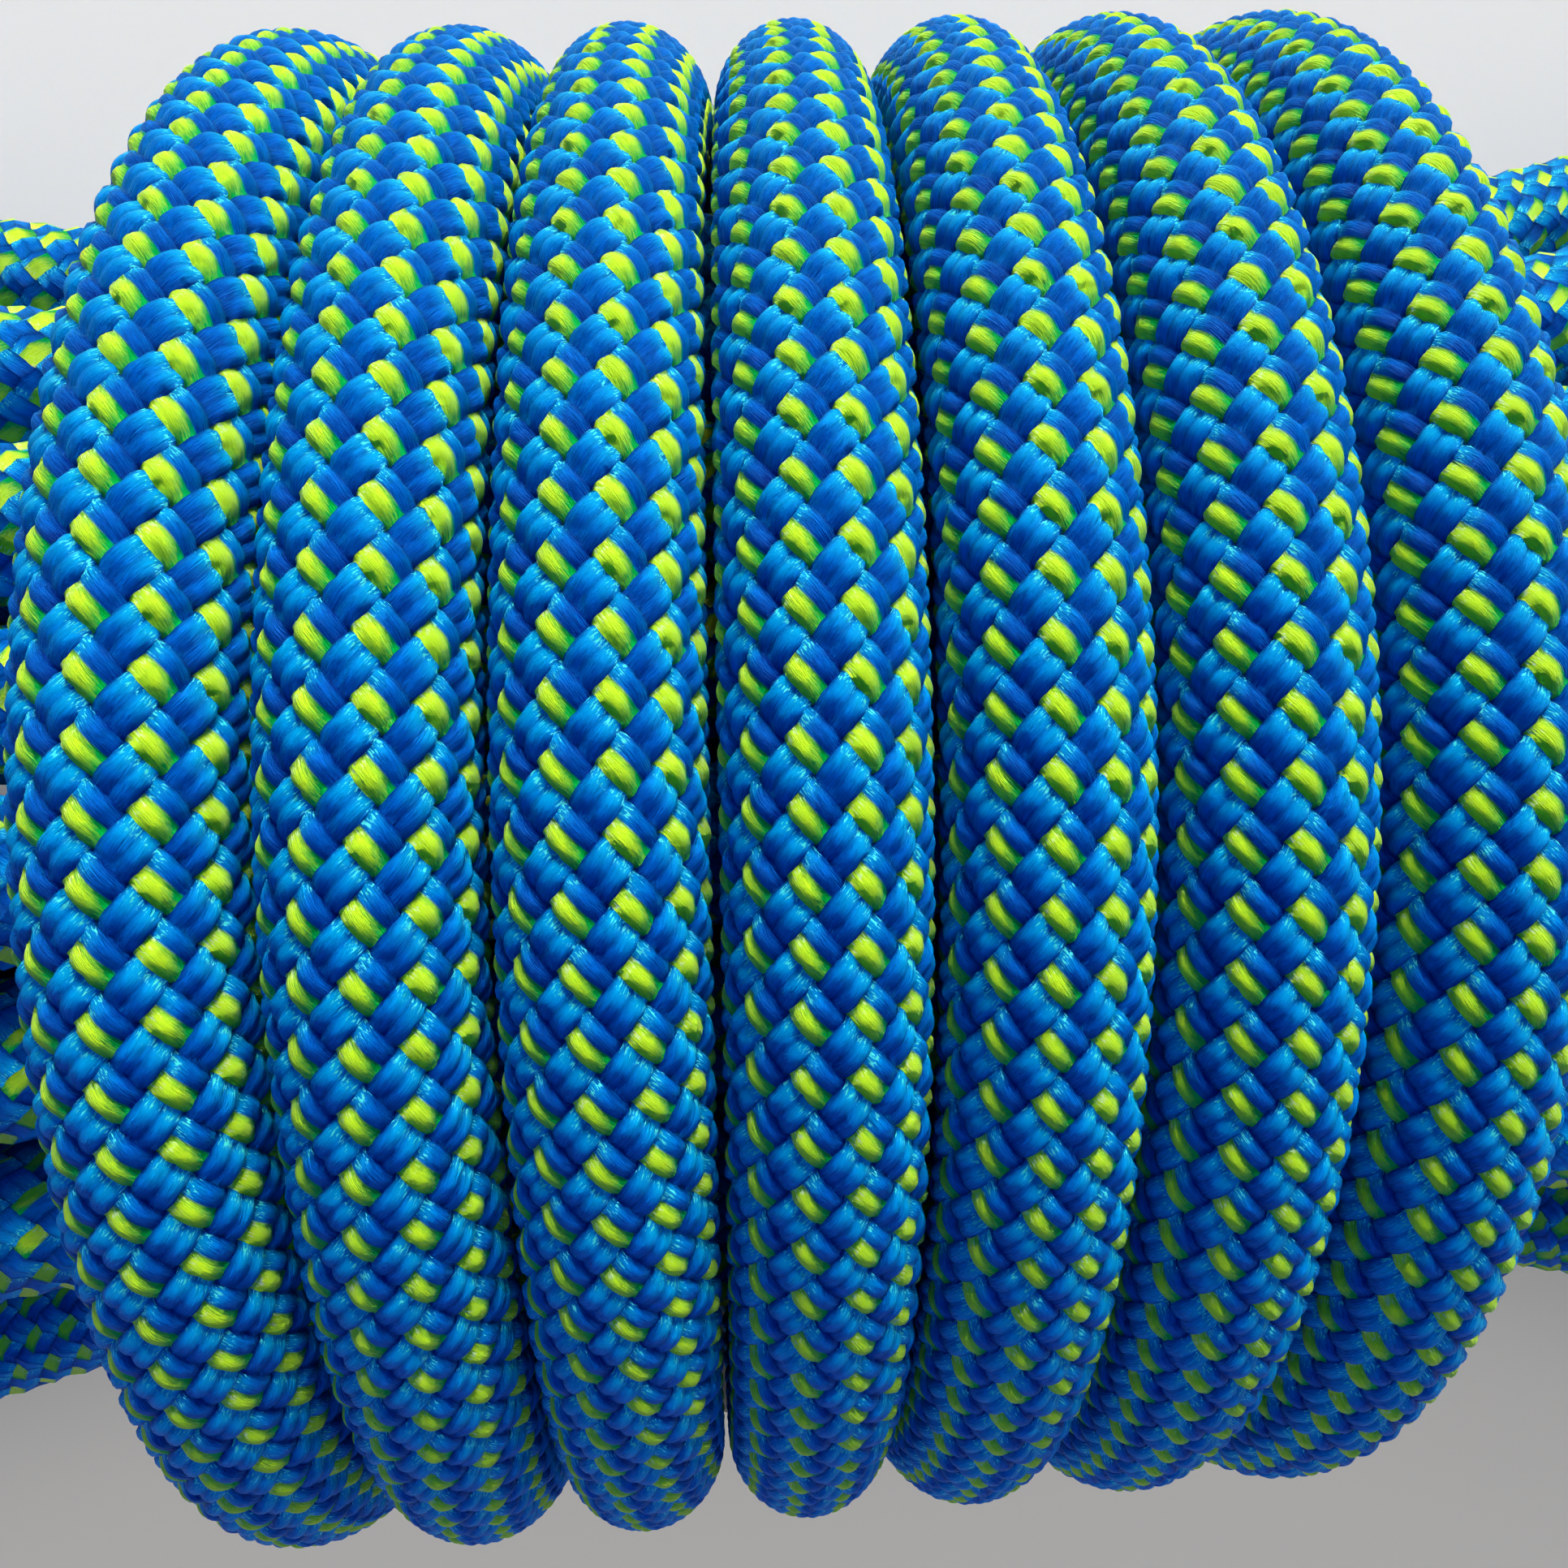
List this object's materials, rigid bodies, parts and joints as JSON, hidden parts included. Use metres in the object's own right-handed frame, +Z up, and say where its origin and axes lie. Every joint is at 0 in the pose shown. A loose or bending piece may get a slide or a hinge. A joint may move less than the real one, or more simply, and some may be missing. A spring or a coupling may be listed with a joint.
{
  "type": "dynamic climbing rope",
  "caption": "Kernmantle dynamic climbing rope put up as a tied hank: a braided sheath over a core of twisted strands, wrapped round its waist, with sleeved ends.",
  "frame": {"origin": "on the floor under the middle of the hank, at the bottom centre of its bounding box", "axes": "+X along the hank and the axis of its waist wraps, +Y across it towards the finish end, +Z up from the floor"},
  "size_m": [0.4255, 0.1484, 0.0945],
  "materials": {
    "braided_sheath": "soft braided polyamide yarn in blue with yellow-green",
    "core_strand": "undyed twisted polyamide yarn",
    "end_sleeve": "glossy shrunk-on sleeve",
    "fused_tip": "melted yarn",
    "tracer_tape": "thin satin tape"
  },
  "bodies": {
    "root": {"hank_loops": "braided_sheath", "waist_wraps": "braided_sheath", "start_tail": "braided_sheath", "finish_tail": "braided_sheath", "start_sheath_end": "braided_sheath", "start_end_sleeve": "end_sleeve", "start_fused_tip": "fused_tip", "start_tracer": "tracer_tape", "start_core_strand_1": "core_strand", "start_core_strand_2": "core_strand", "start_core_strand_3": "core_strand", "start_core_strand_4": "core_strand", "start_core_strand_5": "core_strand", "start_core_strand_6": "core_strand", "start_core_strand_7": "core_strand", "start_core_strand_8": "core_strand", "start_core_strand_9": "core_strand", "start_core_strand_10": "core_strand", "start_core_strand_11": "core_strand", "start_core_strand_12": "core_strand", "finish_sheath_end": "braided_sheath", "finish_end_sleeve": "end_sleeve", "finish_fused_tip": "fused_tip", "finish_tracer": "tracer_tape", "finish_core_strand_1": "core_strand", "finish_core_strand_2": "core_strand", "finish_core_strand_3": "core_strand", "finish_core_strand_4": "core_strand", "finish_core_strand_5": "core_strand", "finish_core_strand_6": "core_strand", "finish_core_strand_7": "core_strand", "finish_core_strand_8": "core_strand", "finish_core_strand_9": "core_strand", "finish_core_strand_10": "core_strand", "finish_core_strand_11": "core_strand", "finish_core_strand_12": "core_strand"}
  },
  "joints": []
}
